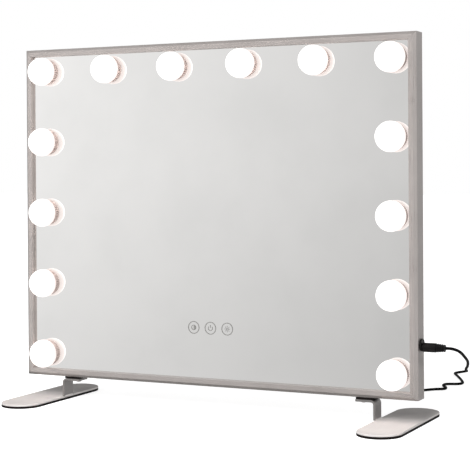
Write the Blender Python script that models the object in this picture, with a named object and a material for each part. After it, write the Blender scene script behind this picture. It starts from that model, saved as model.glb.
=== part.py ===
"""Lighted vanity mirror on two steel feet, with its low-voltage lead and plug-in adapter.

The mirror faces -Y, +X is to its right as seen from the front, and Z = 0 is the table.
The origin is on the table, at the middle of the footprint of the two feet.
"""

import math

import bmesh
import bpy
import numpy as np
from mathutils import Vector

# Driving dimensions, in metres.
frame_width = 0.580
frame_height = 0.460
frame_depth = 0.027
frame_lift = 0.034          # table to the underside of the frame
frame_front = -0.017        # Y of the rails' front face
gap = 0.0003                # between pieces that touch

# Rail section: "in" is the distance from the outer face, "back" the distance from the front.
rail_chamfer = 0.004
rail_face = 0.010           # chamfer, front face and edge break together
rail_edge_break = 0.0006
rail_lip = 0.0027
rail_wall = 0.002
ledge_in = 0.006
ledge_front = 0.021
ledge_back = 0.0225

key_leg = 0.024             # corner key: outer face of the rails to the end of a leg
key_thickness = 0.002
key_width = 0.007
key_back = 0.0115           # front face of the rails to the front of the key

glass_thickness = 0.004
glass_inset = 0.003         # outer face of the rails to the edge of the glass
panel_thickness = 0.002
panel_inset = 0.0023
board_thickness = 0.0016
board_back = 0.0080         # front face of the rails to the front of the boards
strip_width = 0.014
control_width = 0.110
control_bottom = 0.058      # frame underside to the touch board's lower edge
control_top = 0.096

bulbs_across = 6
bulbs_below = 4             # on each side, under the top row
bulb_inset = 0.0315         # outer face of the rails to a bulb's axis
globe_radius = 0.0195
globe_wall = 0.0014
globe_stand = 0.005         # globe centre in front of the rails' front face
globe_cut = 0.0045          # globe centre to the flat at its back
globe_mouth = 0.0150        # radius of the hole in that flat
collar_radius = 0.0172
collar_spigot = 0.0142
collar_neck = 0.0090
collar_lip = 0.0030          # how far the spigot reaches into the globe
glass_hole = 0.0096
bulb_sides = 16

jack_height = 0.0660        # frame underside to the plug's axis
bezel_height = 0.0687       # frame underside to the middle of the bezel
jack_back = 0.0155          # front face of the rails to the plug's axis
bezel_radius = 0.00805
bezel_proud = 0.0025
bezel_rim = 0.0006
bezel_clearance = 0.0008    # round the plug's barrel
jack_length = 0.0125
jack_width = 0.0104
jack_stop = 0.0020          # wall behind the jack's bore
jack_hole = 0.0064
barrel_radius = 0.00275
barrel_length = 0.0095
plug_radius = 0.0058
plug_length = 0.0285
plug_smooth = 0.0171         # length of the plug's body before the ribs
plug_edge = 0.0005
relief_radius = 0.0047
relief_ribs = 4
relief_groove = 0.0009
relief_slot = 0.0011        # width of a groove

strip_back = 0.004          # front face of the rails to the front edge of a bracket
bracket_width = 0.023
bracket_thickness = 0.003
bracket_leg = 0.230         # mirror's middle to the inner face of a leg
flange_end = 0.206          # mirror's middle to the end of a flange
flange_top = 0.0311
bend_radius = 0.003         # inner radius of the bend
foot_screw = 0.2133         # mirror's middle to a foot's screw
screw_radius = 0.0020
screw_head = 0.0040
screw_head_height = 0.0024
screw_hole = 0.0024
screw_rim = 0.0006
screw_top = 0.0415          # table to the end of a foot screw's shank
foot_length = 0.201
foot_width = 0.0575
foot_inner = 0.2315         # mirror's middle to the inner edge of a foot plate
pad_thickness = 0.0027
plate_thickness = 0.0026
plate_edge = 0.0004
spacer_inset = 0.0006

cord_radius = 0.0019
cord_step = 0.0100          # between the points of the cord's tube
coil_middle = 0.020         # radius at the middle of the coil's turns
coil_columns = 3
coil_layers = 2
coil_centre = Vector((0.1558, 0.2256, 0.0012))
tie_thickness = 0.0008
tie_width = 0.008
tie_clearance = 0.0007
coil_slack = 0.0002
adapter_size = Vector((0.074, 0.044, 0.028))
adapter_middle = Vector((0.0358, 0.2436, 0.014))
adapter_edge = 0.003
adapter_relief = 0.016
relief_base = 0.0045
relief_tip = 0.0028
blade_size = Vector((0.0062, 0.0165, 0.0015))
blade_spread = 0.0127
blade_shift = 0.012         # adapter's middle to the blades, along X
rooted = 0.004              # how far blades and relief reach into the adapter's body

# Route of the lead's axis from the plug to the coil, chosen by hand.
cord_route = [
    (0.3219, -0.0015, 0.1000),
    (0.3280, -0.0014, 0.1000),
    (0.3339, 0.0023, 0.0982),
    (0.3369, 0.0114, 0.0941),
    (0.3368, 0.0246, 0.0887),
    (0.3300, 0.0654, 0.0759),
    (0.3209, 0.0975, 0.0677),
    (0.3012, 0.1617, 0.0544),
    (0.2733, 0.2504, 0.0381),
    (0.2478, 0.3400, 0.0220),
    (0.2326, 0.3940, 0.0136),
    (0.2236, 0.4240, 0.0096),
    (0.2192, 0.4390, 0.0069),
    (0.2138, 0.4492, 0.0044),
    (0.2058, 0.4502, 0.0027),
    (0.2003, 0.4416, 0.0021),
    (0.2045, 0.4280, 0.0021),
    (0.2112, 0.4145, 0.0021),
    (0.2195, 0.3970, 0.0021),
    (0.2280, 0.3785, 0.0021),
    (0.2354, 0.3605, 0.0021),
    (0.2392, 0.3475, 0.0021),
    (0.2362, 0.3374, 0.0021),
    (0.2276, 0.3332, 0.0021),
    (0.2206, 0.3288, 0.0021),
    (0.2187, 0.3195, 0.0021),
    (0.2234, 0.3073, 0.0021),
    (0.2303, 0.2945, 0.0021),
    (0.2299, 0.2848, 0.0021),
    (0.2217, 0.2784, 0.0021),
    (0.2095, 0.2645, 0.0021),
    (0.2003, 0.2545, 0.0023),
    (0.1828, 0.2497, 0.0030),
    (0.1703, 0.2494, 0.0032),
]

# Route from the coil to the adapter's strain relief.
tail_route = [
    (0.1413, 0.2494, 0.0070),
    (0.1298, 0.2492, 0.0079),
    (0.1038, 0.2453, 0.0130),
    (0.0948, 0.2438, 0.0140),
    (0.0894, 0.2436, 0.0140),
]

frame_middle = Vector((0.0, frame_front, frame_lift + frame_height / 2))
half_width = frame_width / 2
half_height = frame_height / 2


# ---------------------------------------------------------------- finishes and helpers

def finish(name, colour, roughness, metallic=0.0):
    """A Principled material with one colour, one roughness and one metallic value."""
    material = bpy.data.materials.new(name)
    material.use_nodes = True
    shader = material.node_tree.nodes["Principled BSDF"]
    shader.inputs["Base Color"].default_value = (*colour, 1.0)
    shader.inputs["Roughness"].default_value = roughness
    shader.inputs["Metallic"].default_value = metallic
    material.diffuse_color = (*colour, 1.0)
    return material


def place(bm, name, material, parent=None, location=(0, 0, 0), rotation=(0, 0, 0), smooth=None):
    """Turn a bmesh into a named object; smooth is the sharp-edge angle of round pieces."""
    bmesh.ops.recalc_face_normals(bm, faces=bm.faces)
    mesh = bpy.data.meshes.new(name)
    bm.to_mesh(mesh)
    bm.free()
    if smooth is not None:
        mesh.shade_smooth()
        mesh.set_sharp_from_angle(angle=math.radians(smooth))
    mesh.materials.append(material)
    item = bpy.data.objects.new(name, mesh)
    bpy.context.collection.objects.link(item)
    item.parent = parent
    item.location = location
    item.rotation_euler = rotation
    return item


def anchor(name, location, parent=None):
    """An empty that carries the pieces of one body."""
    item = bpy.data.objects.new(name, None)
    bpy.context.collection.objects.link(item)
    item.parent = parent
    item.location = location
    return item


def arc(centre, radius, start, end, steps):
    """Points along an arc, both ends included; angles in degrees."""
    points = []
    for step in range(steps + 1):
        angle = math.radians(start + (end - start) * step / steps)
        points.append((centre[0] + radius * math.cos(angle), centre[1] + radius * math.sin(angle)))
    return points


def prism(outline, depth):
    """A closed outline in the XY plane, extruded to Z = depth."""
    bm = bmesh.new()
    face = bm.faces.new([bm.verts.new((x, y, 0)) for x, y in outline])
    top = bmesh.ops.extrude_face_region(bm, geom=[face])["geom"]
    rim = [item for item in top if isinstance(item, bmesh.types.BMVert)]
    bmesh.ops.translate(bm, verts=rim, vec=(0, 0, depth))
    return bm


def block(low, high):
    """A box between two corners."""
    low, high = Vector(low), Vector(high)
    bm = bmesh.new()
    bmesh.ops.create_cube(bm, size=1.0)
    bmesh.ops.scale(bm, vec=high - low, verts=bm.verts)
    bmesh.ops.translate(bm, vec=(low + high) / 2, verts=bm.verts)
    return bm


def turned(profile, sides, closed=False):
    """A profile of (radius, height) points spun about Z; an open one starts and ends on Z."""
    bm = bmesh.new()
    points = [bm.verts.new((radius, 0, height)) for radius, height in profile]
    pairs = list(zip(points, points[1:]))
    if closed:
        pairs.append((points[-1], points[0]))
    edges = [bm.edges.new(pair) for pair in pairs]
    bmesh.ops.spin(bm, geom=points + edges, cent=(0, 0, 0), axis=(0, 0, 1),
                   angle=math.tau, steps=sides, use_merge=True)
    bmesh.ops.remove_doubles(bm, verts=bm.verts, dist=1e-6)
    return bm


def drill(radius, sides, reach=0.01):
    """A cylinder about Z that reaches the same distance to both sides of the origin."""
    return turned([(0, -reach), (radius, -reach), (radius, reach), (0, reach)], sides)


def cut(item, cutter):
    """Subtract a hidden cutter from a piece."""
    cutter.hide_render = True
    cutter.display_type = "WIRE"
    modifier = item.modifiers.new("cut_" + cutter.name, "BOOLEAN")
    modifier.operation = "DIFFERENCE"
    modifier.solver = "EXACT"
    modifier.object = cutter


def smooth_route(points, step):
    """Evenly spaced points on a natural cubic spline through the route's points."""
    points = np.array(points)
    spans = np.linalg.norm(np.diff(points, axis=0), axis=1)
    slopes = np.diff(points, axis=0) / spans[:, None]
    system = np.eye(len(points))
    bends = np.zeros_like(points)
    for k in range(1, len(points) - 1):
        system[k, k - 1:k + 2] = (spans[k - 1], 2 * (spans[k - 1] + spans[k]), spans[k])
        bends[k] = 6 * (slopes[k] - slopes[k - 1])
    bends = np.linalg.solve(system, bends)
    dense = [points[0]]
    for k, span in enumerate(spans):
        for share in np.linspace(0, 1, 25)[1:]:
            lift = (share ** 3 - share) * bends[k + 1] + ((1 - share) ** 3 - 1 + share) * bends[k]
            dense.append(points[k] + share * span * slopes[k] + lift * span ** 2 / 6)
    dense = np.array(dense)
    lengths = np.concatenate(([0], np.cumsum(np.linalg.norm(np.diff(dense, axis=0), axis=1))))
    marks = np.linspace(0, lengths[-1], max(2, round(lengths[-1] / step)) + 1)
    return [Vector([np.interp(mark, lengths, dense[:, axis]) for axis in range(3)])
            for mark in marks]


def tube(name, route, material, parent):
    """A round cord along a route, given in world coordinates."""
    curve = bpy.data.curves.new(name, "CURVE")
    curve.dimensions = "3D"
    curve.bevel_depth = cord_radius
    curve.bevel_resolution = 2
    curve.use_fill_caps = True
    points = smooth_route(route, cord_step)
    spline = curve.splines.new("POLY")
    spline.points.add(len(points) - 1)
    for slot, point in zip(spline.points, points):
        slot.co = (*(point - parent.location), 1.0)
    curve.materials.append(material)
    item = bpy.data.objects.new(name, curve)
    bpy.context.collection.objects.link(item)
    item.parent = parent
    return item


# ---------------------------------------------------------------- frame

def rail_section():
    """The extrusion's section as (in, back) points, from the chamfer round to the outer face."""
    return [
        (rail_chamfer, 0),
        (rail_face - rail_edge_break, 0),
        (rail_face, rail_edge_break),
        (rail_face, rail_lip),
        (rail_wall, rail_lip),
        (rail_wall, ledge_front),
        (ledge_in, ledge_front),
        (ledge_in, ledge_back),
        (rail_wall, ledge_back),
        (rail_wall, frame_depth),
        (0, frame_depth),
        (0, rail_chamfer),
    ]


def rail(name, half_length, half_across, turn, material, parent):
    """One mitred rail: built below the frame's middle along X, then turned about Y."""
    bm = bmesh.new()
    section = rail_section()
    face = bm.faces.new([bm.verts.new((0, back, inward - half_across)) for inward, back in section])
    far = bmesh.ops.extrude_face_region(bm, geom=[face])["geom"]
    far_points = {item for item in far if isinstance(item, bmesh.types.BMVert)}
    for point in bm.verts:
        inward = point.co.z + half_across
        reach = half_length - inward - gap * 0.75
        point.co.x = reach if point in far_points else -reach
    return place(bm, name, material, parent, rotation=(0, turn, 0))


def corner_key(name, x_side, z_side, material, parent):
    """An angle plate inside one corner that holds two rails together."""
    start = rail_wall + gap
    inner = start + key_thickness
    outline = [
        (start, start),
        (key_leg, start),
        (key_leg, inner),
        (inner, inner),
        (inner, key_leg),
        (start, key_leg),
    ]
    bm = prism([(-x_side * x, -z_side * z) for x, z in outline], key_width)
    corner = (x_side * half_width, key_back + key_width, z_side * half_height)
    return place(bm, name, material, parent, location=corner, rotation=(math.pi / 2, 0, 0))


def frame(metal, key_metal, parent):
    quarter = math.pi / 2
    bottom = rail("bottom_rail", half_width, half_height, 0, metal, parent)
    rail("left_rail", half_height, half_width, quarter, metal, parent)
    rail("top_rail", half_width, half_height, 2 * quarter, metal, parent)
    right = rail("right_rail", half_height, half_width, -quarter, metal, parent)
    corners = [(-1, -1), (1, -1), (-1, 1), (1, 1)]
    for number, (x_side, z_side) in enumerate(corners, 1):
        corner_key(f"corner_key_{number}", x_side, z_side, key_metal, parent)
    for side in (-1, 1):
        cutter = place(drill(screw_hole, 16), f"rail_drill_{side + 2}", key_metal, parent,
                       location=(side * foot_screw, jack_back, -half_height))
        cut(bottom, cutter)
    cutter = place(drill(jack_hole, 24), "jack_drill", key_metal, parent, rotation=(0, quarter, 0),
                   location=(half_width, jack_back, jack_height - half_height))
    cut(right, cutter)


# ---------------------------------------------------------------- glass, bulbs, electrics

def bulb_places():
    """Bulb axes as (x, z) from the frame's middle: the top row, then the left and right columns."""
    across = half_width - bulb_inset
    upward = half_height - bulb_inset
    top = [(-across + 2 * across * number / (bulbs_across - 1), upward)
           for number in range(bulbs_across)]
    drop = 2 * upward / bulbs_below
    left = [(-across, upward - drop * number) for number in range(1, bulbs_below + 1)]
    right = [(across, upward - drop * number) for number in range(1, bulbs_below + 1)]
    return top + left + right


def mirror_glass(material, parent):
    """Silvered float glass with a hole behind each bulb, made in one piece with its holes."""
    across = half_width - glass_inset
    upward = half_height - glass_inset
    front = rail_lip + gap
    sheet = place(block((-across, front, -upward), (across, front + glass_thickness, upward)),
                  "mirror_glass", material, parent)
    for number, (x, z) in enumerate(bulb_places(), 1):
        cutter = place(drill(glass_hole, bulb_sides), f"glass_drill_{number:02d}", material,
                       parent, location=(x, front, z), rotation=(math.pi / 2, 0, 0))
        cut(sheet, cutter)


def globe_profile():
    """Opal shell as (radius, height): outer pole, outer sphere, back rim, inner sphere."""
    rim = math.degrees(math.asin(-globe_cut / globe_radius))
    inner = globe_radius - globe_wall
    shelf = globe_wall - globe_cut
    inner_rim = math.degrees(math.asin(shelf / inner))
    profile = arc((0, 0), globe_radius, 90, rim, 7)
    profile += [(globe_mouth, -globe_cut), (globe_mouth, shelf)]
    profile += arc((0, 0), inner, inner_rim, 90, 4)
    profile[0] = (0, globe_radius)
    profile[-1] = (0, inner)
    return profile


def collar_profile():
    """Silver collar: neck through the glass, flange on the glass, spigot inside the globe."""
    glass_front = rail_lip + gap + globe_stand
    foot = -(glass_front - gap)
    tail = -(globe_stand + board_back - gap)
    shoulder = -(globe_cut + gap)
    return [
        (0, tail),
        (collar_neck, tail),
        (collar_neck, foot),
        (collar_radius, foot),
        (collar_radius, shoulder),
        (collar_spigot, shoulder),
        (collar_spigot, shoulder + collar_lip),
        (0, shoulder + collar_lip),
    ]


def bulbs(opal, silver, parent):
    for number, (x, z) in enumerate(bulb_places(), 1):
        spot = (x, -globe_stand, z)
        facing = (math.pi / 2, 0, 0)
        place(turned(globe_profile(), bulb_sides), f"bulb_globe_{number:02d}", opal, parent,
              location=spot, rotation=facing, smooth=50)
        place(turned(collar_profile(), bulb_sides), f"bulb_collar_{number:02d}", silver, parent,
              location=spot, rotation=facing, smooth=50)


def boards(material, parent):
    """Light strips behind the bulbs and the touch and dimmer board behind the marks."""
    across = half_width - bulb_inset
    upward = half_height - bulb_inset
    half_strip = strip_width / 2
    back = board_back + board_thickness
    place(block((-across - half_strip, board_back, upward - half_strip),
                (across + half_strip, back, upward + half_strip)),
          "led_strip_top", material, parent)
    below = upward - half_strip - 3 * gap
    for name, x in (("led_strip_left", -across), ("led_strip_right", across)):
        place(block((x - half_strip, board_back, -upward - half_strip),
                    (x + half_strip, back, below)), name, material, parent)
    place(block((-control_width / 2, board_back, control_bottom - half_height),
                (control_width / 2, back, control_top - half_height)),
          "control_board", material, parent)


def back_panel(material, parent):
    across = half_width - panel_inset
    upward = half_height - panel_inset
    front = ledge_back + gap
    place(block((-across, front, -upward), (across, front + panel_thickness, upward)),
          "back_panel", material, parent)


def power_inlet(plastic, parent):
    """Barrel jack inside the right rail, and the round bezel that covers its hole."""
    quarter = math.pi / 2
    height = jack_height - half_height
    inside = half_width - rail_wall - gap
    half_jack = jack_width / 2
    jack = place(block((inside - jack_length, -half_jack, -half_jack),
                       (inside, half_jack, half_jack)),
                 "dc_jack", plastic, parent, location=(0, jack_back, height))
    bore = drill(barrel_radius + gap, 16, jack_length - jack_stop)
    cutter = place(bore, "jack_bore", plastic, parent, rotation=(0, quarter, 0),
                   location=(inside, jack_back, height))
    cut(jack, cutter)

    disc = turned([(0, gap), (bezel_radius, gap), (bezel_radius, bezel_proud - bezel_rim),
                   (bezel_radius - bezel_rim, bezel_proud), (0, bezel_proud)], 32)
    bezel = place(disc, "jack_bezel", plastic, parent, rotation=(0, quarter, 0), smooth=40,
                  location=(half_width, jack_back, bezel_height - half_height))
    opening = drill(barrel_radius + bezel_clearance, 20)
    cutter = place(opening, "bezel_drill", plastic, parent, rotation=(0, quarter, 0),
                   location=(half_width, jack_back, height))
    cut(bezel, cutter)


# ---------------------------------------------------------------- feet

def stadium(width, length, steps=12):
    """A long outline with round ends, its length along Y and its middle at the origin."""
    radius = width / 2
    reach = length / 2 - radius
    return arc((0, reach), radius, 0, 180, steps) + arc((0, -reach), radius, 180, 360, steps)


def bracket_outline():
    """Leg and flange as (x, z) for the right foot, x measured from the mirror's middle."""
    foot = pad_thickness + gap + plate_thickness + gap
    outer = bracket_leg + bracket_thickness
    flange_under = flange_top - bracket_thickness
    big = bend_radius + bracket_thickness
    bend = (bracket_leg - bend_radius, flange_under - bend_radius)
    outline = [(bracket_leg, foot), (outer, foot)]
    outline += arc(bend, big, 0, 90, 6)
    outline += [(flange_end, flange_top), (flange_end, flange_under)]
    outline += arc(bend, bend_radius, 90, 0, 6)
    return outline


def foot(name, side, steel, rubber, mirror_body):
    """One foot, carried by an empty on the axis of its screw."""
    middle = frame_front + strip_back + bracket_width / 2
    pivot = anchor(f"{name}_pivot", (side * foot_screw, middle, 0))
    plate_x = side * (foot_inner + foot_width / 2 - foot_screw)

    pad = prism(stadium(foot_width, foot_length), pad_thickness)
    place(pad, f"{name}_foot_pad", rubber, pivot, location=(plate_x, -middle, 0))

    plate = place(prism(stadium(foot_width, foot_length), plate_thickness),
                  f"{name}_foot_plate", steel, pivot,
                  location=(plate_x, -middle, pad_thickness + gap), smooth=40)
    edge = plate.modifiers.new("edge", "BEVEL")
    edge.width = plate_edge
    edge.segments = 1
    edge.limit_method = "ANGLE"

    strip = prism([(side * (x - foot_screw), z) for x, z in bracket_outline()], bracket_width)
    bracket = place(strip, f"{name}_bracket", steel, pivot, rotation=(math.pi / 2, 0, 0),
                    location=(0, bracket_width / 2, 0), smooth=40)
    cutter = place(drill(screw_hole, 16), f"{name}_bracket_drill", steel, pivot,
                   location=(0, 0, flange_top))
    cut(bracket, cutter)

    low = flange_top + gap
    thick = frame_lift - gap - low
    inner_end = side * (flange_end + spacer_inset - foot_screw)
    outer_end = side * (bracket_leg - spacer_inset - foot_screw)
    spread = bracket_width / 2 - spacer_inset
    spacer = place(block((min(inner_end, outer_end), -spread, 0),
                         (max(inner_end, outer_end), spread, thick)),
                   f"{name}_spacer", rubber, pivot, location=(0, 0, low))
    cutter = place(drill(screw_hole, 16), f"{name}_spacer_drill", rubber, pivot,
                   location=(0, 0, low))
    cut(spacer, cutter)

    under = flange_top - bracket_thickness - gap
    dome = arc((0, 0), 1, -90, 0, 4)
    rise = screw_head_height - screw_rim
    head = [(screw_head * x, under - screw_rim + rise * z) for x, z in dome]
    head[0] = (0, under - screw_head_height)
    shank = head + [(screw_head, under), (screw_radius, under), (screw_radius, screw_top),
                    (0, screw_top)]
    place(turned(shank, 16), f"{name}_foot_screw", steel, mirror_body, smooth=40,
          location=Vector((side * foot_screw, middle, 0)) - mirror_body.location)


# ---------------------------------------------------------------- lead

def plug_profile():
    """Plug as (radius, height): barrel, moulded body, then a ribbed strain relief."""
    pitch = (plug_length - plug_smooth) / relief_ribs
    profile = [(0, -barrel_length), (barrel_radius, -barrel_length), (barrel_radius, 0),
               (plug_radius - plug_edge, 0), (plug_radius, plug_edge),
               (plug_radius, plug_smooth)]
    for number in range(relief_ribs):
        start = plug_smooth + pitch * number
        share = (number + 1) / relief_ribs
        radius = plug_radius + (relief_radius - plug_radius) * share
        floor = radius - relief_groove
        profile += [(floor, start), (floor, start + relief_slot),
                    (radius, start + relief_slot), (radius, start + pitch)]
    profile.append((0, plug_length))
    return profile


def coil_and_tie(cord, strap, parent):
    """The wound part of the lead as one ring, held by a strap."""
    half_band = coil_columns * cord_radius + coil_slack
    height = 2 * coil_layers * cord_radius + coil_slack
    chamfer = cord_radius * 0.6
    inner = coil_middle - half_band
    outer = coil_middle + half_band
    ring = turned([(inner, chamfer), (inner + chamfer, 0), (outer - chamfer, 0), (outer, chamfer),
                   (outer, height - chamfer), (outer - chamfer, height),
                   (inner + chamfer, height), (inner, height - chamfer)], 40, closed=True)
    place(ring, "cord_coil", cord, parent, location=coil_centre - parent.location, smooth=30)

    across = half_band + tie_clearance
    grown = across + tie_thickness
    strap_block = block((-tie_width / 2, -grown, -gap - tie_thickness),
                        (tie_width / 2, grown, height + gap + tie_thickness))
    spot = coil_centre - Vector((0, coil_middle, 0)) - parent.location
    tie = place(strap_block, "coil_tie", strap, parent, location=spot)
    hollow = block((-tie_width, -across, -gap), (tie_width, across, height + gap))
    cut(tie, place(hollow, "tie_hollow", strap, parent, location=spot))


def wall_adapter(plastic, parent):
    """Plug-in adapter lying on the table: body, two flat blades and its strain relief."""
    low = adapter_middle - adapter_size / 2
    high = adapter_middle + adapter_size / 2
    body = block(low - parent.location, high - parent.location)
    bmesh.ops.bevel(body, geom=list(body.edges), offset=adapter_edge, segments=2, profile=0.5,
                    affect="EDGES")
    adapter = place(body, "wall_adapter", plastic, parent, smooth=35)

    additions = []
    for side in (-1, 1):
        middle = Vector((adapter_middle.x - blade_shift, high.y, adapter_middle.z))
        middle.z += side * blade_spread / 2
        half = blade_size / 2
        blade = block(middle + Vector((-half.x, -rooted, -half.z)) - parent.location,
                      middle + Vector((half.x, blade_size.y, half.z)) - parent.location)
        additions.append(place(blade, f"blade_{side + 2}", plastic, parent))
    relief = turned([(0, -rooted), (relief_base, -rooted), (relief_base, 0),
                     (relief_tip, adapter_relief), (0, adapter_relief)], 14)
    additions.append(place(relief, "adapter_relief", plastic, parent,
                           rotation=(0, math.pi / 2, 0),
                           location=Vector((high.x, adapter_middle.y, adapter_middle.z))
                           - parent.location))
    for extra in additions:
        extra.hide_render = True
        extra.display_type = "WIRE"
        union = adapter.modifiers.new("join_" + extra.name, "BOOLEAN")
        union.operation = "UNION"
        union.solver = "EXACT"
        union.object = extra


def power_lead(plastic, cord, strap):
    """Everything that pulls out with the plug, carried by an empty on the plug's axis."""
    face = Vector((half_width + bezel_proud + gap, frame_front + jack_back,
                   frame_lift + jack_height))
    lead = anchor("power_lead_slide", face)
    place(turned(plug_profile(), 20), "dc_plug", plastic, lead, rotation=(0, math.pi / 2, 0),
          smooth=35)
    tube("power_cord", cord_route, cord, lead)
    tube("adapter_lead", tail_route, cord, lead)
    coil_and_tie(cord, strap, lead)
    wall_adapter(plastic, lead)


# ---------------------------------------------------------------- assembly

def build():
    for item in list(bpy.data.objects):
        bpy.data.objects.remove(item, do_unlink=True)

    aluminium = finish("brushed_aluminium", (0.52, 0.49, 0.48), 0.34, 1.0)
    zinc = finish("zinc_plate", (0.55, 0.56, 0.58), 0.40, 1.0)
    steel = finish("satin_steel", (0.48, 0.46, 0.45), 0.30, 1.0)
    silver = finish("silvered_glass", (0.86, 0.87, 0.87), 0.02, 1.0)
    opal = finish("opal_plastic", (0.95, 0.94, 0.92), 0.35)
    bright = finish("bright_plating", (0.72, 0.70, 0.69), 0.15, 1.0)
    board = finish("white_board", (0.80, 0.80, 0.78), 0.55)
    panel = finish("panel_plastic", (0.55, 0.54, 0.53), 0.55)
    black = finish("black_plastic", (0.012, 0.011, 0.011), 0.38)
    rubber = finish("black_rubber", (0.010, 0.008, 0.008), 0.75)
    vinyl = finish("cord_vinyl", (0.008, 0.008, 0.008), 0.45)

    mirror_body = anchor("mirror_body", frame_middle)
    frame(aluminium, zinc, mirror_body)
    mirror_glass(silver, mirror_body)
    bulbs(opal, bright, mirror_body)
    boards(board, mirror_body)
    back_panel(panel, mirror_body)
    power_inlet(black, mirror_body)
    foot("left", -1, steel, rubber, mirror_body)
    foot("right", 1, steel, rubber, mirror_body)
    power_lead(black, vinyl, rubber)


build()
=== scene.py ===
import math

import bmesh
import bpy
import numpy as np
from mathutils import Matrix, Vector


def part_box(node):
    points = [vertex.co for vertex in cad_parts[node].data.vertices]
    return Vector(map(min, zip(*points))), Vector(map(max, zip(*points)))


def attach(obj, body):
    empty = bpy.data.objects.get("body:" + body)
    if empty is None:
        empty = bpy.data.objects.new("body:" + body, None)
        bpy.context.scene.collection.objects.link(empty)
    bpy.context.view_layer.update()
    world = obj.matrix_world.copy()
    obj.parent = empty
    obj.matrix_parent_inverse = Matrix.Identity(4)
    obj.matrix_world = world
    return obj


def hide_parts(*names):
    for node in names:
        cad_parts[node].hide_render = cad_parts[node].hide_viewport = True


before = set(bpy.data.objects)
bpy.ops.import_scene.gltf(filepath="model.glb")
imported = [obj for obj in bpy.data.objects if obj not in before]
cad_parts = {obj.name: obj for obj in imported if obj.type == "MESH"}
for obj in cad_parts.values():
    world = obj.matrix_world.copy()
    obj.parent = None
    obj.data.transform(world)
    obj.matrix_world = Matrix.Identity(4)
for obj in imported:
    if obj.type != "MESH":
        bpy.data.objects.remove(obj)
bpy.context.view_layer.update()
print("frame loaded:", len(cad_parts), "nodes")


def boxOf(*nodes):  # lowest and highest corner of several nodes together
    corners = [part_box(node) for node in nodes]
    low = Vector([min(pair[0][axis] for pair in corners) for axis in range(3)])
    high = Vector([max(pair[1][axis] for pair in corners) for axis in range(3)])
    return low, high


frameLow, frameHigh = boxOf("top_rail", "bottom_rail", "left_rail", "right_rail")
frameMiddle = (frameLow + frameHigh) / 2
frontY = frameLow.y

# camera

cameraView = {
    "place": (0.83185, -1.64800, 0.32417),
    "yaw": 25.875,
    "pitch": -0.208,
    "roll": -0.364,
    "lens": 105.416,
    "sensor": 36.0,
    "shiftY": -0.13025,
}


def makeCamera():
    data = bpy.data.cameras.new("studioCamera")
    data.lens = cameraView["lens"]
    data.sensor_width = cameraView["sensor"]
    data.shift_y = cameraView["shiftY"]
    data.clip_start = 0.05
    data.clip_end = 60
    camera = bpy.data.objects.new("studioCamera", data)
    bpy.context.scene.collection.objects.link(camera)
    turn = (Matrix.Rotation(math.radians(cameraView["yaw"]), 4, "Z")
            @ Matrix.Rotation(math.radians(90 + cameraView["pitch"]), 4, "X")
            @ Matrix.Rotation(math.radians(cameraView["roll"]), 4, "Z"))
    camera.matrix_world = Matrix.Translation(cameraView["place"]) @ turn
    bpy.context.scene.camera = camera


makeCamera()
bpy.context.scene.view_settings.view_transform = "Standard"
print("camera placed")

# shader maths


class Wire:
    def __init__(self, tree, socket=None):
        self.tree = tree
        self.socket = socket

    def node(self, kind, settings=None, sockets=None, out=0):
        made = self.tree.nodes.new(kind)
        for key, value in (settings or {}).items():
            if key == "stops":
                elements = made.color_ramp.elements
                while len(elements) < len(value):
                    elements.new(1.0)
                for element, (position, colour) in zip(elements, value):
                    element.position = position
                    element.color = (*colour, 1.0) if hasattr(colour, "__len__") else (colour,) * 3 + (1.0,)
            else:
                setattr(made, key, value)
        for key, value in (sockets or {}).items():
            if isinstance(value, Wire):
                self.tree.links.new(value.socket, made.inputs[key])
            else:
                made.inputs[key].default_value = value
        return Wire(self.tree, made.outputs[out])

    def maths(self, operation, first, second=0.0):
        return self.node("ShaderNodeMath", {"operation": operation}, {0: first, 1: second})

    def __add__(self, other):
        return self.maths("ADD", self, other)

    def __radd__(self, other):
        return self.maths("ADD", other, self)

    def __sub__(self, other):
        return self.maths("SUBTRACT", self, other)

    def __rsub__(self, other):
        return self.maths("SUBTRACT", other, self)

    def __mul__(self, other):
        return self.maths("MULTIPLY", self, other)

    def __rmul__(self, other):
        return self.maths("MULTIPLY", other, self)

    def limits(self, low, high):  # 0 below low, 1 above high, smooth between
        settings = {"interpolation_type": "SMOOTHSTEP"}
        return self.node("ShaderNodeMapRange", settings, {"Value": self, "From Min": low, "From Max": high})

    def spots(self, scale, detail=2.0, stretch=(1, 1, 1), seed=0.0):  # noise on the object's own metres
        place = self.node("ShaderNodeTexCoord", out="Object")
        moved = {"Vector": place, "Scale": stretch, "Location": (seed, seed, seed)}
        place = self.node("ShaderNodeMapping", {}, moved)
        return self.node("ShaderNodeTexNoise", {}, {"Vector": place, "Scale": scale, "Detail": detail})

    def blend(self, first, second):  # colour mix, self is the factor
        return self.node("ShaderNodeMix", {"data_type": "RGBA"}, {0: self, 6: first, 7: second}, out=2)

    def bumps(self, strength, distance):
        settings = {"Strength": strength, "Distance": distance, "Height": self}
        return self.node("ShaderNodeBump", {}, settings, out="Normal")

    def feed(self, shader, name):
        self.tree.links.new(self.socket, shader.inputs[name])


def colour(red, green, blue):
    return (red, green, blue, 1.0)


def newFinish(name, base, roughness, metallic=0.0, fixed=None):
    material = bpy.data.materials.new(name)
    material.use_nodes = True
    tree = material.node_tree
    shader = tree.nodes["Principled BSDF"]
    shader.inputs["Base Color"].default_value = base
    shader.inputs["Roughness"].default_value = roughness
    shader.inputs["Metallic"].default_value = metallic
    for key, value in (fixed or {}).items():
        shader.inputs[key].default_value = value
    return material, Wire(tree), shader


# finishes

aluminium = {
    "dark": colour(0.29, 0.265, 0.254),
    "light": colour(0.38, 0.351, 0.338),
    "rough": 0.30,
    "spread": 0.12,
    "metal": 0.76,
}


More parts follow.
